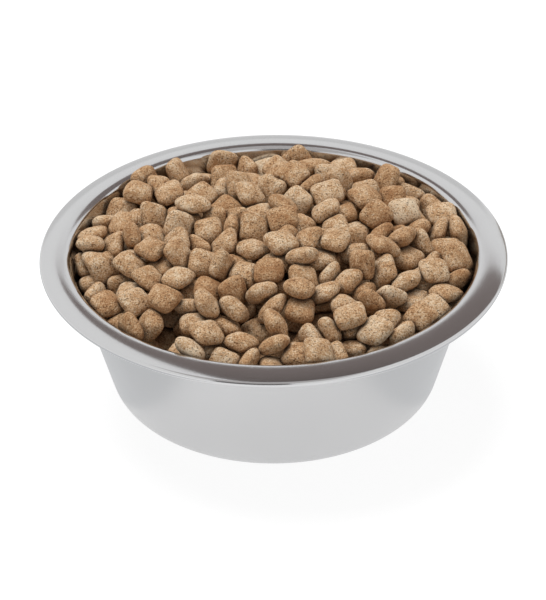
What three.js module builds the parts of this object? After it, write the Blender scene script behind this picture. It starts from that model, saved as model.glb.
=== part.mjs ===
// A stainless-steel pet food bowl, heaped with dry kibble. Millimetres, +Z up.
// The origin is on the bowl's axis, in the plane that the flat base stands on.

import * as THREE from "three";

// Bowl: one pressed sheet, described by the middle of its thickness
const SHEET = 0.7; // thickness of the steel
const BOWL_HEIGHT = 72; // underside of the base to the top of the crowned rim
const RIM_RADIUS = 108; // outermost edge of the curled lip
const FLANGE_WIDTH = 11.4; // from the top of the neck to the outermost edge
const BASE_RADIUS = 66; // flat part of the base
const CORNER_RADIUS = 11; // between the base and the wall
const NECK_RADIUS = 3.4; // between the wall and the flange
const LIP_RADIUS = 1.3; // curl under the flange's outer edge
const FLANGE_RISE = 6; // degrees above level where the flange leaves the neck
const FLANGE_FALL = -20; // degrees below level where the flange meets the lip
const LIP_END = -195; // direction of the sheet's cut edge, curled past level

// Kibble: rounded-square pillows on a domed bed
const KIBBLE_WIDTH = 14;
const KIBBLE_THICKNESS = 8.6;
const KIBBLE_SIZE_SPREAD = 0.07; // each piece is up to this share larger or smaller
const KIBBLE_COUNT = 58; // pieces of the upper layer that are separate
const KIBBLE_TILT = 62; // degrees, the steepest that a piece leans
const OUTLINE_POWER = 3.4; // 2 is a round outline, higher is squarer
const BED_EDGE_DROP = 14; // from the rim's top to the bed's edge at the wall
const BED_CROWN = 12.5; // rise of the bed from its edge to its middle
const SITE_JITTER = 1.1; // how far a piece lies off its place in the pattern
const CLEARANCE = 0.3; // between pieces that rest on each other

// Fineness of the faceted surfaces
const ROUND_SIDES = 48;
const CORNER_STEPS = 5;
const NECK_STEPS = 3;
const CROWN_STEPS = 3;
const LIP_STEPS = 5;
const DOME_STEPS = 5;
const KIBBLE_SIDES = 8;
const KIBBLE_RINGS = 6;

const radians = THREE.MathUtils.degToRad;

const steel = new THREE.MeshStandardMaterial({ color: 0xc9cacb, roughness: 0.3, metalness: 1 });
const bakedMeal = new THREE.MeshStandardMaterial({ color: 0xb48c63, roughness: 0.9, metalness: 0 });
const packedMeal = new THREE.MeshStandardMaterial({ color: 0x8a6848, roughness: 0.95, metalness: 0 });

// Stations along the sheet, each a point and the direction in which the sheet runs there.
// An arc turns left about its centre as the direction grows, and right as it shrinks.
function arcStations(centre, radius, fromAngle, toAngle, steps) {
  const side = toAngle > fromAngle ? 1 : -1;
  const stations = [];
  for (let i = 0; i <= steps; i += 1) {
    const angle = fromAngle + ((toAngle - fromAngle) * i) / steps;
    const across = new THREE.Vector2(Math.sin(angle), -Math.cos(angle)).multiplyScalar(side * radius);
    stations.push({ point: centre.clone().add(across), angle });
  }
  return stations;
}

function arcCentre(point, radius, angle, side) {
  const across = new THREE.Vector2(-Math.sin(angle), Math.cos(angle));
  return point.clone().add(across.multiplyScalar(side * radius));
}

// The sheet's section, from the middle of the base to the cut edge of the lip
function sheetStations() {
  const rise = radians(FLANGE_RISE);
  const fall = radians(FLANGE_FALL);
  const lipReach = LIP_RADIUS * (1 + Math.sin(fall)) + SHEET / 2;
  const crownRadius = (FLANGE_WIDTH - lipReach) / (Math.sin(rise) - Math.sin(fall));
  const crownTop = BOWL_HEIGHT - SHEET / 2;
  const neckTop = new THREE.Vector2(
    RIM_RADIUS - FLANGE_WIDTH,
    crownTop - crownRadius * (1 - Math.cos(rise)),
  );
  const neckCentre = arcCentre(neckTop, NECK_RADIUS, rise, -1);
  const cornerCentre = new THREE.Vector2(BASE_RADIUS, SHEET / 2 + CORNER_RADIUS);
  const between = neckCentre.clone().sub(cornerCentre);
  const wallAngle = between.angle() + Math.asin((NECK_RADIUS + CORNER_RADIUS) / between.length());

  const corner = arcStations(cornerCentre, CORNER_RADIUS, 0, wallAngle, CORNER_STEPS);
  const neck = arcStations(neckCentre, NECK_RADIUS, wallAngle, rise, NECK_STEPS);
  const crownCentre = arcCentre(neckTop, crownRadius, rise, -1);
  const crown = arcStations(crownCentre, crownRadius, rise, fall, CROWN_STEPS).slice(1);
  const lipCentre = arcCentre(crown[crown.length - 1].point, LIP_RADIUS, fall, -1);
  const lip = arcStations(lipCentre, LIP_RADIUS, fall, radians(LIP_END), LIP_STEPS).slice(1);
  return { pan: [...corner, neck[0]], rim: [...neck.slice(1), ...crown, ...lip] };
}

// One skin of the sheet: side 1 is the skin that holds the food, side -1 the outside
function skinOf(stations, side) {
  return stations.map(({ point, angle }) => {
    const across = new THREE.Vector2(-Math.sin(angle), Math.cos(angle));
    return point.clone().add(across.multiplyScalar((side * SHEET) / 2));
  });
}

// A profile in the plane of radius and height becomes a body about the Z axis
function turned(profile) {
  const geometry = new THREE.LatheGeometry(profile, ROUND_SIDES);
  geometry.rotateX(Math.PI / 2);
  return geometry;
}

const sheet = sheetStations();

function bowlGeometry() {
  const whole = [...sheet.pan, ...sheet.rim];
  const outside = skinOf(whole, -1);
  const inside = skinOf(whole, 1);
  const profile = [
    new THREE.Vector2(0, 0),
    ...outside,
    ...inside.reverse(),
    new THREE.Vector2(0, SHEET),
  ];
  return turned(profile);
}

// The bowl's inner skin up to the neck, and its radius at a height
const innerWall = skinOf(sheet.pan, 1);

function innerRadius(height) {
  for (let i = 1; i < innerWall.length; i += 1) {
    const low = innerWall[i - 1];
    const high = innerWall[i];
    if (height <= high.y || i === innerWall.length - 1) {
      return low.x + ((high.x - low.x) * (height - low.y)) / (high.y - low.y);
    }
  }
  return 0;
}

// The bed fills the bowl up to a dome, one layer of kibble below the heap's surface
const bedEdgeHeight = BOWL_HEIGHT - BED_EDGE_DROP;
const bedEdgeRadius = innerRadius(bedEdgeHeight) - CLEARANCE;

function bedHeight(radius) {
  const share = radius / bedEdgeRadius;
  return bedEdgeHeight + BED_CROWN * (1 - share * share);
}

function bedGeometry() {
  const lining = innerWall
    .filter((point) => point.y < bedEdgeHeight - CLEARANCE)
    .map((point) => new THREE.Vector2(point.x - CLEARANCE, point.y + CLEARANCE));
  const dome = [];
  for (let i = DOME_STEPS; i >= 0; i -= 1) {
    const radius = (bedEdgeRadius * i) / DOME_STEPS;
    dome.push(new THREE.Vector2(radius, bedHeight(radius)));
  }
  return turned([new THREE.Vector2(0, SHEET + CLEARANCE), ...lining, ...dome]);
}

// A repeatable number from 0 to 1 for a piece and a purpose
function draw(piece, purpose) {
  const wave = Math.sin(piece * 12.9898 + purpose * 78.233) * 43758.5453;
  return wave - Math.floor(wave);
}

function spread(piece, purpose) {
  return 2 * draw(piece, purpose) - 1;
}

// A pillow: a squarish outline that swells to its full thickness in the middle
function kibbleGeometry(width, depth, thickness) {
  const geometry = new THREE.SphereGeometry(1, KIBBLE_SIDES, KIBBLE_RINGS);
  geometry.rotateX(Math.PI / 2);
  const position = geometry.attributes.position;
  const point = new THREE.Vector3();
  for (let i = 0; i < position.count; i += 1) {
    point.fromBufferAttribute(position, i);
    const around = Math.hypot(point.x, point.y);
    if (around > 1e-9) {
      const u = Math.abs(point.x / around) ** OUTLINE_POWER;
      const v = Math.abs(point.y / around) ** OUTLINE_POWER;
      const reach = (u + v) ** (-1 / OUTLINE_POWER);
      point.x *= (reach * width) / 2;
      point.y *= (reach * depth) / 2;
    }
    point.z *= thickness / 2;
    position.setXYZ(i, point.x, point.y, point.z);
  }
  return geometry;
}

// Places follow a sunflower's pattern, which covers the dome evenly from the middle out
function kibbleSite(index, reach) {
  const goldenTurn = Math.PI * (3 - Math.sqrt(5));
  const radius = reach * Math.sqrt((index + 0.5) / KIBBLE_COUNT);
  const turn = index * goldenTurn;
  return new THREE.Vector2(
    radius * Math.cos(turn) + SITE_JITTER * spread(index, 1),
    radius * Math.sin(turn) + SITE_JITTER * spread(index, 2),
  );
}

// The piece's corners, in the piece's own frame, as a list of vectors
function cornersOf(geometry) {
  const position = geometry.attributes.position;
  const corners = [];
  for (let i = 0; i < position.count; i += 1) {
    corners.push(new THREE.Vector3().fromBufferAttribute(position, i));
  }
  return corners;
}

// The planes of the piece's faces, in the piece's own frame. A pillow bulges everywhere,
// so a point is outside it where it lies in front of at least one of them.
function facesOf(geometry, corners) {
  const index = geometry.index.array;
  const faces = [];
  for (let i = 0; i < index.length; i += 3) {
    const triangle = new THREE.Triangle(corners[index[i]], corners[index[i + 1]], corners[index[i + 2]]);
    faces.push(triangle.getPlane(new THREE.Plane()));
  }
  return faces;
}

// True where one of this piece's faces has the whole of the other piece clear in front of it
function facesClear(piece, other) {
  const corners = other.corners.map((corner) =>
    corner.clone().applyQuaternion(other.turn).add(other.position).sub(piece.position)
      .applyQuaternion(piece.inverse));
  return piece.faces.some((face) =>
    corners.every((corner) => face.distanceToPoint(corner) >= CLEARANCE));
}

function tooClose(piece, other) {
  const apart = piece.position.distanceTo(other.position) > piece.reach + other.reach + CLEARANCE;
  return !apart && !facesClear(piece, other) && !facesClear(other, piece);
}

// Each piece comes down on the bed, or on the pieces that already lie under it
function settle(piece, placed) {
  const settleStep = 0.1;
  let lift = -Infinity;
  for (const corner of piece.corners) {
    const turnedCorner = corner.clone().applyQuaternion(piece.turn);
    const radius = Math.hypot(turnedCorner.x + piece.position.x, turnedCorner.y + piece.position.y);
    lift = Math.max(lift, bedHeight(radius) + CLEARANCE - turnedCorner.z);
  }
  piece.position.z = lift;
  while (placed.some((other) => tooClose(piece, other))) {
    piece.position.z += settleStep;
  }
}

function makeKibble(index, placed) {
  const width = KIBBLE_WIDTH * (1 + KIBBLE_SIZE_SPREAD * spread(index, 3));
  const depth = KIBBLE_WIDTH * (1 + KIBBLE_SIZE_SPREAD * spread(index, 4));
  const thickness = KIBBLE_THICKNESS * (1 + KIBBLE_SIZE_SPREAD * spread(index, 5));
  const geometry = kibbleGeometry(width, depth, thickness);
  const cornerReach = (Math.max(width, depth) / 2) * 2 ** (0.5 - 1 / OUTLINE_POWER);
  const site = kibbleSite(index, bedEdgeRadius - cornerReach - SITE_JITTER - CLEARANCE);

  const lean = radians(KIBBLE_TILT) * draw(index, 6) ** 1.4;
  const leanDirection = 2 * Math.PI * draw(index, 7);
  const leanAxis = new THREE.Vector3(Math.cos(leanDirection), Math.sin(leanDirection), 0);
  const turn = new THREE.Quaternion()
    .setFromAxisAngle(leanAxis, lean)
    .multiply(new THREE.Quaternion().setFromAxisAngle(new THREE.Vector3(0, 0, 1), Math.PI * draw(index, 8)));
  const corners = cornersOf(geometry);
  const piece = {
    corners,
    faces: facesOf(geometry, corners),
    reach: cornerReach,
    position: new THREE.Vector3(site.x, site.y, 0),
    turn,
    inverse: turn.clone().invert(),
  };
  settle(piece, placed);
  placed.push(piece);

  const mesh = new THREE.Mesh(geometry, bakedMeal);
  mesh.name = `kibble_${String(index + 1).padStart(2, "0")}`;
  mesh.quaternion.copy(piece.turn);
  mesh.position.copy(piece.position);
  return mesh;
}

const filledBowl = new THREE.Group();

const bowl = new THREE.Mesh(bowlGeometry(), steel);
bowl.name = "bowl";
filledBowl.add(bowl);

const bed = new THREE.Mesh(bedGeometry(), packedMeal);
bed.name = "kibble_bed";
filledBowl.add(bed);

const heap = new THREE.Group();
const placedPieces = [];
for (let index = 0; index < KIBBLE_COUNT; index += 1) {
  heap.add(makeKibble(index, placedPieces));
}
filledBowl.add(heap);

export default filledBowl;
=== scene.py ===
"""A stainless-steel pet bowl with a wide rolled rim, heaped with pillow-shaped dry kibble.

The bowl and each kibble of the frame are rebuilt with fine surfaces where the frame has them. The rest
of the heap is kibble that a rigid-body simulation drops between and onto those. Lengths are in metres.
"""

import math
import random
from collections import namedtuple

import bpy
import numpy as np
from mathutils import Euler, Matrix, Vector, noise


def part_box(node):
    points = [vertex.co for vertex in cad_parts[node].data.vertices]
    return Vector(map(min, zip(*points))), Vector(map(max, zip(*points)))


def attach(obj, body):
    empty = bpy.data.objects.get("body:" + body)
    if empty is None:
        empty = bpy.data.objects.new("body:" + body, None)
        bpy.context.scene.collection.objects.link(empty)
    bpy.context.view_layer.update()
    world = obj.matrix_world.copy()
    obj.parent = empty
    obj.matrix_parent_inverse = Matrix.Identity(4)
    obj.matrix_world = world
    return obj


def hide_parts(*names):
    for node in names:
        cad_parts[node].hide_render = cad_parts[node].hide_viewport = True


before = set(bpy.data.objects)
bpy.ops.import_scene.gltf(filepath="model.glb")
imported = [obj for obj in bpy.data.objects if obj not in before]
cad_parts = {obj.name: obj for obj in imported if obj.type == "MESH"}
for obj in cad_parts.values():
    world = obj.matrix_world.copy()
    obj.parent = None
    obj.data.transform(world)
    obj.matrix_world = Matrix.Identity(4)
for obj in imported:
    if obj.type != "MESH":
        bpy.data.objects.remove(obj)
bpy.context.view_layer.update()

MM = 0.001
TURN = 2 * math.pi
GOLDEN_ANGLE = math.pi * (3 - math.sqrt(5))

# Bowl: one pressed sheet. Its radius and height come from the frame.
RIM_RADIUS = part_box("bowl")[1].x
BOWL_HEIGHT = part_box("bowl")[1].z
SHEET = 0.7 * MM
FLANGE_WIDTH = 11.4 * MM
BASE_RADIUS = 66 * MM
CORNER_RADIUS = 11 * MM
NECK_RADIUS = 3.4 * MM
LIP_RADIUS = 1.3 * MM
FLANGE_RISE = math.radians(6)
FLANGE_FALL = math.radians(-20)
LIP_END = math.radians(-195)
BOWL_SIDES = 288
BASE_STEPS = 8
CORNER_STEPS = 14
WALL_STEPS = 9
NECK_STEPS = 8
CROWN_STEPS = 16
LIP_STEPS = 18
EDGE_STEPS = 6

# Kibble: full sizes of one piece, and how much they vary.
KIBBLE_WIDTH = 14 * MM
KIBBLE_THICKNESS = 8 * MM
KIBBLE_SIZE_SPREAD = 0.08
OUTLINE_POWERS = (3.2, 5.0)
DOME_POWERS = (1.9, 2.4)
SHAPE_SPREAD = 0.1
TONE_SEEDS = 5000
TONE_MIDDLE = 0.5
TONE_SPREAD = 0.12
LUMP_SIZE = 5 * MM
LUMP_HEIGHT = 0.22 * MM
DENT_SIZE = 1.9 * MM
DENT_HEIGHT = 0.13 * MM
NOISE_STEPS = (1.7, 0.9, 0.3)
FINE_DIVISIONS = 12
COARSE_DIVISIONS = 8
HULL_DIVISIONS = 4
EQUATOR_HEIGHT = 0.1 * MM

# Packed kibble under the heap. Its radius and crown height come from the frame.
BED_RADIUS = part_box("kibble_bed")[1].x
BED_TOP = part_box("kibble_bed")[1].z
BED_CROWN = 12.5 * MM
CORE_DEPTH = 10.5 * MM
CORE_CLEARANCE = 0.4 * MM
CORE_SIDES = 96
CORE_RINGS = 24
# The core's tone is low in the colour ramp, which darkens it as painted shade.
SHADED_CORE_TONE = 0.3

# Simulation of the falling kibble. It runs at a larger scale, where its solver is steady.
SIM_SCALE = 100
SIM_GRAVITY = 98
SIM_FRAMES = 80
SIM_SUBSTEPS = 8
SIM_SOLVER_STEPS = 15
SIM_MARGIN = 0.01
SIM_FRICTION = 0.5
SIM_DAMPING = 0.08
SIM_SPIN_DAMPING = 0.2
CUP_SIDES = 48
CUP_KEEPS_ONE_IN = 3
BED_POURS = 2
POURS = 3
WAVES = 3
KIBBLES_PER_WAVE = 24
WAVE_RADIUS = 85 * MM
FIRST_WAVE_HEIGHT = 94 * MM
WAVE_RISE = 15 * MM
WAVE_TILT = 0.3
FENCE_HEIGHT = 260 * MM
FENCE_THICKNESS = 10 * MM
BED_SEEDS = 1000
HEAP_SEEDS = 2000
SEEDS_PER_POUR = 100
HEAP_TOP = 88.5 * MM
HEAP_DROP = 11 * MM
HEAP_GROUPS = 6

# Camera: fitted to the photograph's 546 x 600 frame.
PHOTO_WIDTH = 546
PHOTO_HEIGHT = 600
FOCAL_PIXELS = 3250
SENSOR_WIDTH = 36
CAMERA_DISTANCE = 1.5
CAMERA_ELEVATION = math.radians(32.1)
CAMERA_ROLL = math.radians(0.59)
RIM_CENTRE_PIXEL = (273.5, 248.4)

# Light. The floor adds the lift only for the camera and for reflections, which makes it white there.
AMBIENT = 0.56
SUN_STRENGTH = 2.1
SUN_ANGLE = math.radians(40)
SUN_DISTANCE = 2.0
SUN_AZIMUTH = -35
SUN_ELEVATION = 68
FLOOR_HALF = 8.0
FLOOR_LIFT = 0.84
FLOOR_COLOUR = (0.26, 0.26, 0.26, 1)

# Studio cards that only reflections see: left and right ends, and (y, z) of the low and high edges.
CANOPY_SIDES = (-0.15, 0.5)
CANOPY_LOW = (0.283, 0.268)
CANOPY_HIGH = (0.05, 1.5)
CANOPY_LOW_COLOUR = (0.26, 0.22, 0.21, 1)
CANOPY_HIGH_COLOUR = (0.10, 0.085, 0.08, 1)
OVERHEAD_SIDES = (-0.9, 0.7)
OVERHEAD_LOW = (-1.3, 1.25)
OVERHEAD_HIGH = (0.05, 1.5)
OVERHEAD_COLOUR = (0.6, 0.58, 0.57, 1)
FRONT_CARD_SIDES = (-0.42, 0.10)
FRONT_CARD_LOW = (-0.9, 0.10)
FRONT_CARD_HIGH = (-0.75, 0.75)
FRONT_CARD_COLOUR = (0.22, 0.21, 0.21, 1)
SIDE_CARD_SIDES = (0.45, 1.3)
SIDE_CARD_LOW = (0.9, 0.0)
SIDE_CARD_HIGH = (0.9, 0.4)
SIDE_CARD_COLOUR = (0.42, 0.38, 0.34, 1)
BACK_CARD_SIDES = (-0.7, 0.45)
BACK_CARD_LOW = (1.2, 0.0)
BACK_CARD_HIGH = (1.2, 0.5)
BACK_CARD_COLOUR = (0.8, 0.8, 0.8, 1)
GROUND_CARD_INSIDE = 0.074
GROUND_CARD_OUTSIDE = 0.35
GROUND_CARD_NEAR = (-0.2, 0.0005)
GROUND_CARD_FAR = (0.35, 0.0005)
GROUND_CARD_COLOUR = (0.8, 0.81, 0.82, 1)

# Materials. Sizes are those of the noise that makes each pattern. A range holds the two values
# between which an effect grows or fades.
STEEL_COLOUR = (0.6, 0.6, 0.605, 1)
STEEL_ROUGHNESS = (0.1, 0.2)
STEEL_ANISOTROPY = 0.4
STEEL_GRAIN_TURN = 0.25
WEAR_RANGE = (0.6, 1.4)
SATIN_ROUGHNESS = 0.17
FINISH_BLEND = 2 * MM
STREAK_WIDTH = 0.25 * MM
STREAKS_AROUND = 3.0
PATCH_SIZE = 30 * MM
STREAK_BUMP = 0.1
STREAK_DEPTH = 0.05 * MM
MOTTLE_SIZE = 5 * MM
GRAIN_SIZE = 0.7 * MM
SPECK_SIZE = 0.8 * MM
PIT_SIZE = 1.5 * MM
PIT_DEPTH = 0.45 * MM
SHADE_RANGE = (0.3, 0.7)
MOTTLE_CONTRAST = 0.25
GRAIN_CONTRAST = 0.55
GRAIN_RELIEF = 0.8
PIT_RANGE = (0.30, 0.42)
SPECK_RANGE = (0.67, 0.75)
SPECK_STRENGTH = 0.7
# Painted shade between kibbles: how far it reaches, the occlusion range over which it fades in, its
# strength and its samples.
PAINTED_SHADE_REACH = 3 * MM
PAINTED_SHADE_RANGE = (0.25, 0.8)
PAINTED_SHADE_STRENGTH = 0.66
PAINTED_SHADE_SAMPLES = 8
KIBBLE_ROUGHNESS = 0.85
KIBBLE_SPECULAR = 0.3
SPECK_COLOUR = (84, 56, 34)
# The dark brown of the painted shade between kibbles.
PAINTED_SHADE_COLOUR = (48, 28, 20)
BAKED_COLOURS = ((154, 111, 74), (196, 158, 118), (227, 206, 177))
# Darker copies of the kibble colours, as painted shade, for the packed kibble under the heap and its core.
SHADED_PACKED_COLOURS = ((140, 100, 67), (181, 144, 107), (210, 184, 152))

Kibble = namedtuple("Kibble", "centre axes half seed")


def srgb(red, green, blue):
    """A colour given as 0 to 255 values, as linear RGBA."""
    values = [channel / 255 for channel in (red, green, blue)]
    linear = [v / 12.92 if v <= 0.04045 else ((v + 0.055) / 1.055) ** 2.4 for v in values]
    return (*linear, 1.0)


def link_mesh(name, points, faces):
    """A smooth-shaded mesh object in the scene."""
    mesh = bpy.data.meshes.new(name)
    mesh.from_pydata([tuple(p) for p in points], [], [tuple(f) for f in faces])
    mesh.polygons.foreach_set("use_smooth", [True] * len(mesh.polygons))
    mesh.update()
    made = bpy.data.objects.new(name, mesh)
    bpy.context.scene.collection.objects.link(made)
    return made


def paint_attribute(made, name, values):
    """A number at each vertex, which the material reads."""
    attribute = made.data.attributes.new(name, "FLOAT", "POINT")
    attribute.data.foreach_set("value", np.asarray(values, np.float32))


def add_piece(made, material, slot, *nodes):
    """The object becomes a piece of the part, which stands for the given nodes."""
    made.data.materials.append(material)
    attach(made, "root")
    if nodes:
        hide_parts(*nodes)


class Graph:
    """A node tree, with short calls that add nodes and join them."""

    def __init__(self, tree):
        self.tree = tree
        tree.nodes.clear()

    def add(self, kind, inputs=None, **settings):
        made = self.tree.nodes.new(kind)
        for name, value in settings.items():
            setattr(made, name, value)
        for key, value in (inputs or {}).items():
            self.put(made.inputs[key], value)
        return made

    def put(self, socket, value):
        """Joins an output to the socket, or sets the socket's own value."""
        if isinstance(value, bpy.types.NodeSocket):
            self.tree.links.new(value, socket)
        else:
            socket.default_value = value

    def math(self, operation, *values, clamp=False):
        made = self.add("ShaderNodeMath", operation=operation, use_clamp=clamp)
        for socket, value in zip(made.inputs, values):
            self.put(socket, value)
        return made.outputs[0]

    def noise(self, vector, scale, detail=2.0, roughness=0.5):
        inputs = {"Vector": vector, "Scale": scale, "Detail": detail, "Roughness": roughness}
        return self.add("ShaderNodeTexNoise", inputs).outputs["Fac"]

    def range(self, value, low, high, to_low=0.0, to_high=1.0):
        inputs = {"Value": value, "From Min": low, "From Max": high, "To Min": to_low, "To Max": to_high}
        return self.add("ShaderNodeMapRange", inputs).outputs[0]

    def mix(self, factor, first, second):
        made = self.add("ShaderNodeMix", data_type="RGBA")
        self.put(made.inputs["Factor"], factor)
        self.put(made.inputs["A"], first)
        self.put(made.inputs["B"], second)
        return made.outputs["Result"]

    def ramp(self, value, stops):
        made = self.add("ShaderNodeValToRGB", {"Fac": value})
        elements = made.color_ramp.elements
        while len(elements) < len(stops):
            elements.new(0.5)
        for element, (place, colour) in zip(elements, stops):
            element.position = place
            element.color = colour
        return made.outputs["Color"]


def new_material(name):
    """An empty node material and its graph."""
    material = bpy.data.materials.new(name)
    material.use_nodes = True
    return material, Graph(material.node_tree)


# Bowl


def sheet_normal(angle):
    """The direction to the left of a sheet that runs at this angle in the section."""
    return np.array([-math.sin(angle), math.cos(angle)])


def arc_centre(point, radius, angle, side):
    """The centre of an arc that leaves the point at this angle, to the left for side 1."""
    return point + side * radius * sheet_normal(angle)


def arc_stations(centre, radius, start, end, steps):
    """Points and directions along an arc of the sheet's middle line."""
    side = 1 if end > start else -1
    angles = np.linspace(start, end, steps + 1)
    return [(centre - side * radius * sheet_normal(angle), angle) for angle in angles]


def sheet_stations():
    """Points and directions along the sheet's middle line, from the base's centre to the lip."""
    lip_reach = LIP_RADIUS * (1 + math.sin(FLANGE_FALL)) + SHEET / 2
    crown_radius = (FLANGE_WIDTH - lip_reach) / (math.sin(FLANGE_RISE) - math.sin(FLANGE_FALL))
    crown_top = BOWL_HEIGHT - SHEET / 2
    neck_height = crown_top - crown_radius * (1 - math.cos(FLANGE_RISE))
    neck_top = np.array([RIM_RADIUS - FLANGE_WIDTH, neck_height])
    neck_centre = arc_centre(neck_top, NECK_RADIUS, FLANGE_RISE, -1)
    corner_centre = np.array([BASE_RADIUS, SHEET / 2 + CORNER_RADIUS])
    between = neck_centre - corner_centre
    lean = math.asin((NECK_RADIUS + CORNER_RADIUS) / np.linalg.norm(between))
    wall_angle = math.atan2(between[1], between[0]) + lean
    crown_centre = arc_centre(neck_top, crown_radius, FLANGE_RISE, -1)
    radii = np.linspace(0, BASE_RADIUS, BASE_STEPS + 1)[:-1]
    base = [(np.array([radius, SHEET / 2]), 0.0) for radius in radii]
    corner = arc_stations(corner_centre, CORNER_RADIUS, 0, wall_angle, CORNER_STEPS)
    neck = arc_stations(neck_centre, NECK_RADIUS, wall_angle, FLANGE_RISE, NECK_STEPS)
    steps = np.linspace(0, 1, WALL_STEPS + 1)[1:-1]
    wall = [(corner[-1][0] + t * (neck[0][0] - corner[-1][0]), wall_angle) for t in steps]
    crown = arc_stations(crown_centre, crown_radius, FLANGE_RISE, FLANGE_FALL, CROWN_STEPS)
    lip_centre = arc_centre(crown[-1][0], LIP_RADIUS, FLANGE_FALL, -1)
    lip = arc_stations(lip_centre, LIP_RADIUS, FLANGE_FALL, LIP_END, LIP_STEPS)
    return base + corner + wall + neck + crown[1:] + lip[1:]


def skin(stations, side, offset=SHEET / 2):
    """One face of the sheet: side 1 is the inside, and -1 the outside."""
    return [point + side * offset * sheet_normal(angle) for point, angle in stations]


def round_edge(station):
    """The sheet's rounded free edge, from the outside face round to the inside one."""
    point, angle = station
    turns = np.linspace(-math.pi / 2, math.pi / 2, EDGE_STEPS + 1)[1:-1]
    return [point + SHEET / 2 * np.array([math.cos(angle + t), math.sin(angle + t)]) for t in turns]


def lathe(name, profile, sides):
    """A closed turned solid. The profile holds radius and height, and starts and ends on the axis."""
    rings = np.array(profile[1:-1])
    angles = TURN * np.arange(sides) / sides
    x = rings[:, :1] * np.cos(angles)
    y = rings[:, :1] * np.sin(angles)
    z = np.repeat(rings[:, 1:], sides, axis=1)
    middle = np.stack([x, y, z], axis=2).reshape(-1, 3)
    points = np.vstack([[0, 0, profile[0][1]], middle, [0, 0, profile[-1][1]]])
    faces = []
    last = len(points) - 1
    final_ring = 1 + (len(rings) - 1) * sides
    for i in range(sides):
        j = (i + 1) % sides
        faces.append((0, 1 + j, 1 + i))
        for start in range(1, final_ring, sides):
            faces.append((start + i, start + j, start + sides + j, start + sides + i))
        faces.append((last, final_ring + i, final_ring + j))
    return link_mesh(name, points, faces)


def bowl_profile():
    """The whole section of the bowl, round the sheet from its outside to its inside."""
    stations = sheet_stations()
    return skin(stations, -1) + round_edge(stations[-1]) + skin(stations, 1)[::-1]


def outside_length():
    """The distance along the section over the outside face, which is satin. The rest is polished."""
    profile = skin(sheet_stations(), -1)
    return float(np.linalg.norm(np.diff(np.array(profile), axis=0), axis=1).sum())


OUTSIDE_LENGTH = outside_length()


def build_bowl(material):
    """The pressed bowl, with the distance along its section for the brushing."""
    profile = bowl_profile()
    made = lathe("steel_bowl", profile, BOWL_SIDES)
    steps = np.linalg.norm(np.diff(np.array(profile), axis=0), axis=1)
    along = np.concatenate([[0], np.cumsum(steps)])
    around = np.repeat(along[1:-1], BOWL_SIDES)
    paint_attribute(made, "along", np.concatenate([along[:1], around, along[-1:]]))
    add_piece(made, material, "steel", "bowl")


# Kibble


def cube_sphere(divisions):
    """Directions and outward quads of a cube blown up to a sphere."""
    index = {}
    quads = []

    def corner(axis, side, i, j):
        key = [0, 0, 0]
        key[axis] = divisions * side
        key[(axis + 1) % 3] = i
        key[(axis + 2) % 3] = j
        return index.setdefault(tuple(key), len(index))

    for axis in range(3):
        for side in (0, 1):
            for i in range(divisions):
                for j in range(divisions):
                    ring = [(i, j), (i + 1, j), (i + 1, j + 1), (i, j + 1)]
                    quad = [corner(axis, side, *place) for place in ring]
                    quads.append(quad if side else quad[::-1])
    cube = np.array(list(index), float)
    directions = np.tan((2 * cube / divisions - 1) * math.pi / 4)
    directions /= np.linalg.norm(directions, axis=1, keepdims=True)
    return directions, np.array(quads)


FINE_SPHERE = cube_sphere(FINE_DIVISIONS)
COARSE_SPHERE = cube_sphere(COARSE_DIVISIONS)
HULL_SPHERE = cube_sphere(HULL_DIVISIONS)


def pillow(kibble, sphere, lumpy=True):
    """The points of one kibble about its own centre: a domed, rounded square that is slightly uneven."""
    draw = random.Random(kibble.seed)
    outline = draw.uniform(*OUTLINE_POWERS)
    dome = draw.uniform(*DOME_POWERS)
    taper_x = draw.uniform(-SHAPE_SPREAD, SHAPE_SPREAD)
    taper_y = draw.uniform(-SHAPE_SPREAD, SHAPE_SPREAD)
    shear = draw.uniform(-SHAPE_SPREAD, SHAPE_SPREAD)
    bend = draw.uniform(-SHAPE_SPREAD, SHAPE_SPREAD)
    x, y, z = sphere[0].T
    flat = (np.abs(x) ** outline + np.abs(y) ** outline) ** (dome / outline)
    reach = (flat + np.abs(z) ** dome) ** (-1 / dome)
    x, y, z = x * reach, y * reach, z * reach
    x, y = x * (1 + taper_x * y), y * (1 + taper_y * x)
    x = x + shear * y
    z = z + bend * (x * x - 0.5)
    points = np.stack([x, y, z], axis=1) * kibble.half
    if lumpy:
        points += unevenness(points, sphere[0], kibble.seed)
    return points


def unevenness(points, directions, seed):
    """How far each point of a kibble's surface stands out or in, as lumps and smaller dents."""
    place = Vector([seed * step for step in NOISE_STEPS])
    heights = []
    for point in points:
        lump = noise.noise(Vector(point) / LUMP_SIZE + place)
        dent = noise.noise(Vector(point) / DENT_SIZE - place)
        heights.append(LUMP_HEIGHT * lump + DENT_HEIGHT * dent)
    return directions * np.array(heights)[:, None]


def in_row_frame(kibble, points):
    """Points about the kibble's centre, in the row frame."""
    return points @ kibble.axes + kibble.centre


def kibble_object(name, kibbles, sphere):
    """One mesh of these kibbles, each with its own tone."""
    points, quads, tones = [], [], []
    for order, kibble in enumerate(kibbles):
        points.append(in_row_frame(kibble, pillow(kibble, sphere)))
        quads.append(sphere[1] + order * len(sphere[0]))
        tone = random.Random(kibble.seed + TONE_SEEDS).gauss(TONE_MIDDLE, TONE_SPREAD)
        tones.append(np.full(len(sphere[0]), tone))
    made = link_mesh(name, np.vstack(points), np.vstack(quads).tolist())
    paint_attribute(made, "tone", np.concatenate(tones))
    return made


def coordinates(node):
    """A node's different points, in the row frame."""
    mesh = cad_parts[node].data
    found = np.empty(len(mesh.vertices) * 3, np.float32)
    mesh.vertices.foreach_get("co", found)
    return np.unique(found.reshape(-1, 3), axis=0).astype(float)


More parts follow.
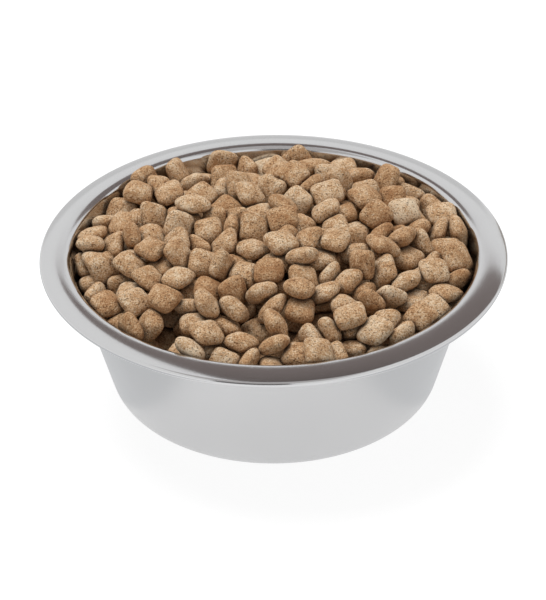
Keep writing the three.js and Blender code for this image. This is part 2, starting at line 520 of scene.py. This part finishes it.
def frame_kibble(node, seed):
    """Where the frame has a kibble: its centre, its axes (width, depth, thickness) and half sizes."""
    points = coordinates(node)
    centre = points.mean(axis=0)
    points = points - centre
    up = np.linalg.eigh(points.T @ points)[1][:, 0]
    heights = points @ up
    equator = points[np.abs(heights) < EQUATOR_HEIGHT]
    middles = equator[np.argsort(np.linalg.norm(equator, axis=1))[:4]]
    width = middles[0]
    depth = min(middles[1:], key=lambda middle: abs(middle @ width))
    half = np.array([np.linalg.norm(width), np.linalg.norm(depth), heights.max()])
    width = width / half[0]
    depth = np.cross(up, width)
    return Kibble(centre, np.array([width, depth, up]), half, seed)


def frame_kibbles():
    """Each kibble node of the frame, by its name."""
    names = sorted(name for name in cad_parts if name.startswith("kibble_") and name != "kibble_bed")
    return {name: frame_kibble(name, seed) for seed, name in enumerate(names, start=1)}


def random_half(draw):
    """Half sizes of one kibble."""
    spread = KIBBLE_SIZE_SPREAD
    width = KIBBLE_WIDTH * draw.uniform(1 - spread, 1 + spread)
    depth = KIBBLE_WIDTH * draw.uniform(1 - spread, 1 + spread)
    thickness = KIBBLE_THICKNESS * draw.uniform(1 - spread, 1 + spread)
    return np.array([width, depth, thickness]) / 2


def bed_height(radius):
    """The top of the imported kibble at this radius."""
    return BED_TOP - BED_CROWN * (radius / BED_RADIUS) ** 2


def heap_height(radius):
    """The dome that the heap's pieces stay under."""
    return HEAP_TOP - HEAP_DROP * (radius / BED_RADIUS) ** 2


def core_rim():
    """The core's side along the bowl's inner face, from the middle of the base up."""
    inside = skin(sheet_stations(), 1, SHEET / 2 + CORE_CLEARANCE)
    edge = bed_height(BED_RADIUS) - CORE_DEPTH
    return [point for point in inside if point[1] < edge and point[0] < BED_RADIUS]


def core_top(edge_radius):
    """The core's domed top, from its edge to the axis."""
    radii = np.linspace(edge_radius, 0, CORE_RINGS)
    return [np.array([radius, bed_height(radius) - CORE_DEPTH]) for radius in radii]


def build_core(material):
    """The mass of kibble below, which only shows as darkness between the pieces above it. Its low tone and
    darker colours are painted shade.
    """
    side = core_rim()
    made = lathe("packed_core", side + core_top(side[-1][0]), CORE_SIDES)
    paint_attribute(made, "tone", np.full(len(made.data.vertices), SHADED_CORE_TONE))
    add_piece(made, material, "packed_kibble", "kibble_bed")


# Falling kibble


def waves(draw, first_seed):
    """The kibbles of one pour, wave above wave, far enough apart to start clear of each other."""
    made = []
    for wave in range(WAVES):
        start = draw.uniform(0, TURN)
        for i in range(KIBBLES_PER_WAVE):
            radius = WAVE_RADIUS * math.sqrt((i + 0.5) / KIBBLES_PER_WAVE)
            angle = start + i * GOLDEN_ANGLE
            height = FIRST_WAVE_HEIGHT + wave * WAVE_RISE
            centre = np.array([radius * math.cos(angle), radius * math.sin(angle), height])
            leans = [draw.uniform(-WAVE_TILT, WAVE_TILT), draw.uniform(-WAVE_TILT, WAVE_TILT)]
            turn = Euler([*leans, draw.uniform(0, TURN)])
            axes = np.array(turn.to_matrix().transposed())
            made.append(Kibble(centre, axes, random_half(draw), first_seed + len(made)))
    return made


def pour(still, pours, ceiling, first_seed):
    """Pours kibble several times. Each time, what comes to rest above the ceiling is taken off again."""
    draw = random.Random(first_seed)
    heap = []
    for number in range(pours):
        falling = heap + waves(draw, first_seed + SEEDS_PER_POUR * number)
        heap = [kibble for kibble in settle(still, falling) if rests_under(kibble, ceiling)]
    return [kibble for kibble in settle(still, heap) if rests_under(kibble, ceiling)]


def simulate_as(made, kind, shape):
    """The object takes part in the simulation, as a still or a falling body."""
    bpy.context.scene.rigidbody_world.collection.objects.link(made)
    body = made.rigid_body
    body.type = kind
    body.collision_shape = shape
    body.friction = SIM_FRICTION
    body.restitution = 0.0
    body.linear_damping = SIM_DAMPING
    body.angular_damping = SIM_SPIN_DAMPING
    body.use_margin = True
    body.collision_margin = SIM_MARGIN


def build_cup():
    """What holds the falling kibble: the core's top, the bowl's inner face and a fence on its neck."""
    neck = RIM_RADIUS - FLANGE_WIDTH
    edge = core_rim()[-1]
    wall = [point for point in skin(sheet_stations(), 1) if point[0] < neck and point[1] > edge[1]]
    rings = core_top(edge[0])[::-1][::CUP_KEEPS_ONE_IN] + wall[::CUP_KEEPS_ONE_IN]
    outside = neck + FENCE_THICKNESS
    below = -FENCE_THICKNESS
    fence = [(neck, FENCE_HEIGHT), (outside, FENCE_HEIGHT), (outside, below), (0, below)]
    profile = rings + [np.array(point) for point in fence]
    cup = lathe("sim_cup", profile[::-1], CUP_SIDES)
    cup.data.transform(Matrix.Scale(SIM_SCALE, 4))
    simulate_as(cup, "PASSIVE", "MESH")
    return cup


def kibble_body(kibble, kind):
    """A coarse copy of a kibble for the simulation, at its place."""
    points = pillow(kibble, HULL_SPHERE, lumpy=False) * SIM_SCALE
    made = link_mesh("sim_kibble", points, HULL_SPHERE[1].tolist())
    place = Matrix(kibble.axes.T).to_4x4()
    place.translation = Vector(kibble.centre * SIM_SCALE)
    made.matrix_world = place
    simulate_as(made, kind, "CONVEX_HULL")
    return made


def settle(still, falling):
    """Lets the falling kibbles come to rest in the bowl, and returns them where they lie."""
    scene = bpy.context.scene
    bpy.ops.rigidbody.world_add()
    world = scene.rigidbody_world
    world.collection = bpy.data.collections.new("settling")
    world.substeps_per_frame = SIM_SUBSTEPS
    world.solver_iterations = SIM_SOLVER_STEPS
    world.point_cache.frame_end = SIM_FRAMES
    scene.gravity = (0, 0, -SIM_GRAVITY)
    ground = [build_cup()] + [kibble_body(kibble, "PASSIVE") for kibble in still]
    bodies = [kibble_body(kibble, "ACTIVE") for kibble in falling]
    for number in range(1, SIM_FRAMES + 1):
        scene.frame_set(number)
    graph = bpy.context.evaluated_depsgraph_get()
    settled = []
    for kibble, body in zip(falling, bodies):
        place = body.evaluated_get(graph).matrix_world
        centre = np.array(place.translation) / SIM_SCALE
        axes = np.array(place.to_3x3().normalized().transposed())
        settled.append(kibble._replace(centre=centre, axes=axes))
    bpy.ops.rigidbody.world_remove()
    for made in ground + bodies:
        bpy.data.meshes.remove(made.data)
    scene.frame_set(1)
    return settled


def rests_under(kibble, ceiling):
    """Whether a kibble came to rest inside the bowl's neck, above the core and under the ceiling."""
    radius = math.hypot(*kibble.centre[:2])
    top = in_row_frame(kibble, pillow(kibble, HULL_SPHERE, lumpy=False))[:, 2].max()
    return radius < RIM_RADIUS - FLANGE_WIDTH and bed_height(radius) - CORE_DEPTH < top < ceiling(radius)


def build_kibble(material, shaded_packed_material):
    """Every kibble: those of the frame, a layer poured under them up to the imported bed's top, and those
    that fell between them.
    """
    placed = frame_kibbles()
    bed = pour([], BED_POURS, bed_height, BED_SEEDS)
    for name, kibble in placed.items():
        made = kibble_object("fine_" + name, [kibble], FINE_SPHERE)
        add_piece(made, material, "kibble", name)
    half = len(bed) // 2
    for order, group in enumerate((bed[:half], bed[half:]), start=1):
        made = kibble_object(f"packed_kibble_{order}", group, COARSE_SPHERE)
        add_piece(made, shaded_packed_material, "packed_kibble")
    fallen = pour(list(placed.values()) + bed, POURS, heap_height, HEAP_SEEDS)
    fallen.sort(key=lambda kibble: math.atan2(kibble.centre[1], kibble.centre[0]))
    size = math.ceil(len(fallen) / HEAP_GROUPS)
    for order in range(HEAP_GROUPS):
        group = fallen[order * size:(order + 1) * size]
        made = kibble_object(f"heap_kibble_{order + 1}", group, FINE_SPHERE)
        add_piece(made, material, "kibble")


# Materials


def steel_material():
    """Stainless steel brushed round the axis, satin outside and polished on the rest."""
    material, graph = new_material("satin_steel")
    place = graph.add("ShaderNodeTexCoord").outputs["Object"]
    along = graph.add("ShaderNodeAttribute", attribute_name="along").outputs["Fac"]
    flat = graph.add("ShaderNodeVectorMath", {0: place, 1: (1, 1, 0)}, operation="MULTIPLY").outputs[0]
    around = graph.add("ShaderNodeVectorMath", {0: flat}, operation="NORMALIZE").outputs[0]
    split = graph.add("ShaderNodeSeparateXYZ", {0: around})
    lines = graph.add("ShaderNodeCombineXYZ", {
        "X": graph.math("MULTIPLY", split.outputs["X"], STREAKS_AROUND),
        "Y": graph.math("MULTIPLY", split.outputs["Y"], STREAKS_AROUND),
        "Z": graph.math("MULTIPLY", along, 1 / STREAK_WIDTH),
    }).outputs[0]
    streaks = graph.noise(lines, 1.0, 3.0, 0.6)
    patches = graph.noise(place, 1 / PATCH_SIZE, 2.0)
    wear = graph.range(graph.math("ADD", streaks, patches), *WEAR_RANGE, *STEEL_ROUGHNESS)
    satin_end = (OUTSIDE_LENGTH - FINISH_BLEND, OUTSIDE_LENGTH + FINISH_BLEND)
    finish = graph.range(along, *satin_end, SATIN_ROUGHNESS, 0.0)
    roughness = graph.math("ADD", wear, finish)
    relief = {"Height": streaks, "Strength": STREAK_BUMP, "Distance": STREAK_DEPTH}
    bump = graph.add("ShaderNodeBump", relief)
    tangent = graph.add("ShaderNodeTangent", direction_type="RADIAL", axis="Z")
    shader = graph.add("ShaderNodeBsdfPrincipled", {
        "Base Color": STEEL_COLOUR,
        "Metallic": 1.0,
        "Roughness": roughness,
        "Anisotropic": STEEL_ANISOTROPY,
        "Anisotropic Rotation": STEEL_GRAIN_TURN,
        "Normal": bump.outputs[0],
        "Tangent": tangent.outputs[0],
    })
    graph.add("ShaderNodeOutputMaterial", {"Surface": shader.outputs[0]})
    return material


def kibble_material(name, colours):
    """Baked kibble: a sandy crust with fine grain, darker specks and small pits, and painted shade that
    darkens it where other kibble is near.
    """
    material, graph = new_material(name)
    place = graph.add("ShaderNodeTexCoord").outputs["Object"]
    tone = graph.add("ShaderNodeAttribute", attribute_name="tone").outputs["Fac"]
    mottle = graph.noise(place, 1 / MOTTLE_SIZE, 2.0)
    grain = graph.noise(place, 1 / GRAIN_SIZE, 2.5, 0.75)
    specks = graph.range(graph.noise(place, 1 / SPECK_SIZE, 0.0), *SPECK_RANGE)
    pits = graph.range(graph.noise(place, 1 / PIT_SIZE, 1.0), *PIT_RANGE)
    patches = graph.range(mottle, *SHADE_RANGE, -MOTTLE_CONTRAST, MOTTLE_CONTRAST)
    crumbs = graph.range(grain, *SHADE_RANGE, -GRAIN_CONTRAST, GRAIN_CONTRAST)
    shade = graph.math("ADD", graph.math("ADD", tone, patches), crumbs)
    stops = [(stop, srgb(*values)) for stop, values in zip((0.0, 0.5, 1.0), colours)]
    colour = graph.ramp(shade, stops)
    colour = graph.mix(graph.math("MULTIPLY", specks, SPECK_STRENGTH), colour, srgb(*SPECK_COLOUR))
    # Painted shade: an ambient-occlusion node darkens the colour towards a dark brown where other kibble
    # is near.
    nearby = graph.add("ShaderNodeAmbientOcclusion", {"Distance": PAINTED_SHADE_REACH}, samples=PAINTED_SHADE_SAMPLES)
    painted_shade = graph.range(nearby.outputs["AO"], *PAINTED_SHADE_RANGE, PAINTED_SHADE_STRENGTH, 0.0)
    colour = graph.mix(painted_shade, colour, srgb(*PAINTED_SHADE_COLOUR))
    relief = graph.math("ADD", graph.math("MULTIPLY", grain, GRAIN_RELIEF), pits)
    bump = graph.add("ShaderNodeBump", {"Height": relief, "Strength": 1.0, "Distance": PIT_DEPTH})
    shader = graph.add("ShaderNodeBsdfPrincipled", {
        "Base Color": colour,
        "Roughness": KIBBLE_ROUGHNESS,
        "Specular IOR Level": KIBBLE_SPECULAR,
        "Normal": bump.outputs[0],
    })
    graph.add("ShaderNodeOutputMaterial", {"Surface": shader.outputs[0]})
    return material


# Stage, light and camera


def build_world():
    """A soft even sky, which the camera and reflections see as white."""
    world = bpy.data.worlds.new("studio")
    bpy.context.scene.world = world
    world.use_nodes = True
    graph = Graph(world.node_tree)
    path = graph.add("ShaderNodeLightPath")
    seen = graph.math("MAXIMUM", path.outputs["Is Camera Ray"], path.outputs["Is Glossy Ray"])
    seen = graph.math("MAXIMUM", seen, path.outputs["Is Transmission Ray"])
    soft = graph.add("ShaderNodeBackground", {"Color": (1, 1, 1, 1), "Strength": AMBIENT})
    white = graph.add("ShaderNodeBackground", {"Color": (1, 1, 1, 1), "Strength": 1.0})
    both = graph.add("ShaderNodeMixShader", {0: seen, 1: soft.outputs[0], 2: white.outputs[0]})
    graph.add("ShaderNodeOutputWorld", {"Surface": both.outputs[0]})


def build_floor():
    """A pale floor that looks white to the camera, and keeps the bowl's shadow."""
    half = FLOOR_HALF
    corners = [(-half, -half, 0), (half, -half, 0), (half, half, 0), (-half, half, 0)]
    floor = link_mesh("floor", corners, [(0, 1, 2, 3)])
    material, graph = new_material("pale_floor")
    path = graph.add("ShaderNodeLightPath")
    seen = graph.math("MAXIMUM", path.outputs["Is Camera Ray"], path.outputs["Is Glossy Ray"])
    strength = graph.math("MULTIPLY", seen, FLOOR_LIFT)
    lift = graph.add("ShaderNodeEmission", {"Color": (1, 1, 1, 1), "Strength": strength})
    matt = graph.add("ShaderNodeBsdfDiffuse", {"Color": FLOOR_COLOUR})
    both = graph.add("ShaderNodeAddShader", {0: matt.outputs[0], 1: lift.outputs[0]})
    graph.add("ShaderNodeOutputMaterial", {"Surface": both.outputs[0]})
    floor.data.materials.append(material)


def build_card(name, sides, low, high, low_colour, high_colour):
    """A studio card that only reflections see. It fades from its low edge to its high one."""
    left, right = sides
    corners = [(left, *low), (right, *low), (right, *high), (left, *high)]
    card = link_mesh(name, corners, [(0, 1, 2, 3)])
    material, graph = new_material(name)
    place = graph.add("ShaderNodeTexCoord").outputs["Object"]
    height = graph.add("ShaderNodeSeparateXYZ", {0: place}).outputs["Z"]
    fade = graph.range(height, low[1], high[1])
    colour = graph.mix(fade, low_colour, high_colour)
    glow = graph.add("ShaderNodeEmission", {"Color": colour, "Strength": 1.0})
    graph.add("ShaderNodeOutputMaterial", {"Surface": glow.outputs[0]})
    card.data.materials.append(material)
    card.visible_camera = False
    card.visible_diffuse = False
    card.visible_shadow = False


def build_cards():
    """A dim canopy behind the bowl, which darkens the near rim, and dim cards overhead and around it."""
    build_card("canopy", CANOPY_SIDES, CANOPY_LOW, CANOPY_HIGH, CANOPY_LOW_COLOUR, CANOPY_HIGH_COLOUR)
    overhead = (OVERHEAD_SIDES, OVERHEAD_LOW, OVERHEAD_HIGH)
    build_card("overhead_card", *overhead, OVERHEAD_COLOUR, OVERHEAD_COLOUR)
    front = (FRONT_CARD_SIDES, FRONT_CARD_LOW, FRONT_CARD_HIGH)
    build_card("front_card", *front, FRONT_CARD_COLOUR, FRONT_CARD_COLOUR)
    side = (SIDE_CARD_SIDES, SIDE_CARD_LOW, SIDE_CARD_HIGH)
    build_card("side_card", *side, SIDE_CARD_COLOUR, SIDE_CARD_COLOUR)
    back = (BACK_CARD_SIDES, BACK_CARD_LOW, BACK_CARD_HIGH)
    build_card("back_card", *back, BACK_CARD_COLOUR, BACK_CARD_COLOUR)
    for name, sides in (("left_ground_card", (-GROUND_CARD_OUTSIDE, -GROUND_CARD_INSIDE)),
                        ("right_ground_card", (GROUND_CARD_INSIDE, GROUND_CARD_OUTSIDE))):
        build_card(name, sides, GROUND_CARD_NEAR, GROUND_CARD_FAR, GROUND_CARD_COLOUR, GROUND_CARD_COLOUR)


def on_dome(distance, azimuth, elevation):
    """A point around the bowl. Azimuth 0 is straight behind it, and 90 to its right."""
    a, e = math.radians(azimuth), math.radians(elevation)
    level = distance * math.cos(e)
    return (level * math.sin(a), level * math.cos(a), distance * math.sin(e))


def build_lights():
    """One broad soft light from above, a little behind the bowl and to its left."""
    light = bpy.data.lights.new("key", "SUN")
    light.energy = SUN_STRENGTH
    light.angle = SUN_ANGLE
    lamp = bpy.data.objects.new("key", light)
    bpy.context.scene.collection.objects.link(lamp)
    lamp.visible_glossy = False
    lamp.location = on_dome(SUN_DISTANCE, SUN_AZIMUTH, SUN_ELEVATION)
    lamp.rotation_euler = Vector(lamp.location).to_track_quat("Z", "Y").to_euler()


def build_camera():
    """The photograph's view, in which the rim's centre falls on its pixel."""
    data = bpy.data.cameras.new("camera")
    data.sensor_fit = "HORIZONTAL"
    data.sensor_width = SENSOR_WIDTH
    data.lens = FOCAL_PIXELS * SENSOR_WIDTH / PHOTO_WIDTH
    camera = bpy.data.objects.new("camera", data)
    bpy.context.scene.collection.objects.link(camera)
    e = CAMERA_ELEVATION
    aim = Vector((0, 0, BOWL_HEIGHT))
    place = aim + CAMERA_DISTANCE * Vector((0, -math.cos(e), math.sin(e)))
    pan = math.atan((RIM_CENTRE_PIXEL[0] - PHOTO_WIDTH / 2) / FOCAL_PIXELS)
    tilt = math.atan((PHOTO_HEIGHT / 2 - RIM_CENTRE_PIXEL[1]) / FOCAL_PIXELS)
    look = Matrix.Rotation(math.pi / 2 - e, 4, "X")
    roll = Matrix.Rotation(-CAMERA_ROLL, 4, "Z")
    turn = roll @ Matrix.Rotation(pan, 4, "Y") @ Matrix.Rotation(-tilt, 4, "X")
    camera.matrix_world = Matrix.Translation(place) @ look @ turn
    bpy.context.scene.camera = camera


def main():
    bpy.context.scene.view_settings.view_transform = "Standard"
    build_camera()
    build_world()
    build_floor()
    build_lights()
    build_cards()
    kibble = kibble_material("baked_kibble", BAKED_COLOURS)
    # The packed kibble's material is a darker copy of the kibble's: painted shade.
    shaded_packed = kibble_material("packed_kibble", SHADED_PACKED_COLOURS)
    build_bowl(steel_material())
    build_core(shaded_packed)
    build_kibble(kibble, shaded_packed)


main()
